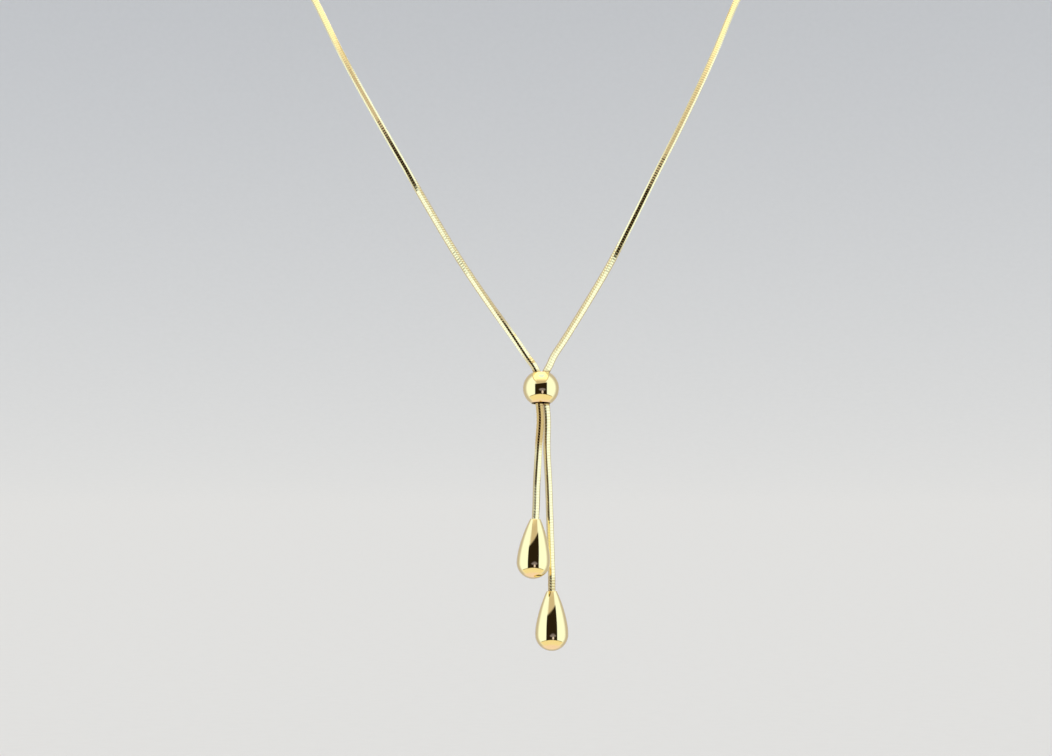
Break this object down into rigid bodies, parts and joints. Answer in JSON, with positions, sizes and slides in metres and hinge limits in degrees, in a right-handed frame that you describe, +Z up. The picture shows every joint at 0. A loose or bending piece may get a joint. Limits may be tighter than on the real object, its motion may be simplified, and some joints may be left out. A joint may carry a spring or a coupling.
{
  "type": "lariat necklace",
  "caption": "Lariat necklace: eight-sided snake chain with a barrel clasp at the nape, drawn through a polished sliding ball, with a pear-shaped drop on each free end.",
  "frame": {"origin": "the point at the nape where the inner side of the clasp rests", "axes": "+Z up, +X to the right seen from the front, -Y towards the front; the clasp lies along X"},
  "size_m": [0.1152, 0.1153, 0.169],
  "materials": {
    "chain_gold": "polished 14 carat yellow gold snake chain",
    "polished_gold": "mirror-polished 14 carat yellow gold",
    "clasp_gold": "polished 14 carat yellow gold"
  },
  "bodies": {
    "root": {"chain_left": "chain_gold", "chain_right": "chain_gold", "slider_ball": "polished_gold", "drop_short": "polished_gold", "drop_long": "polished_gold", "clasp": "clasp_gold"}
  },
  "joints": []
}
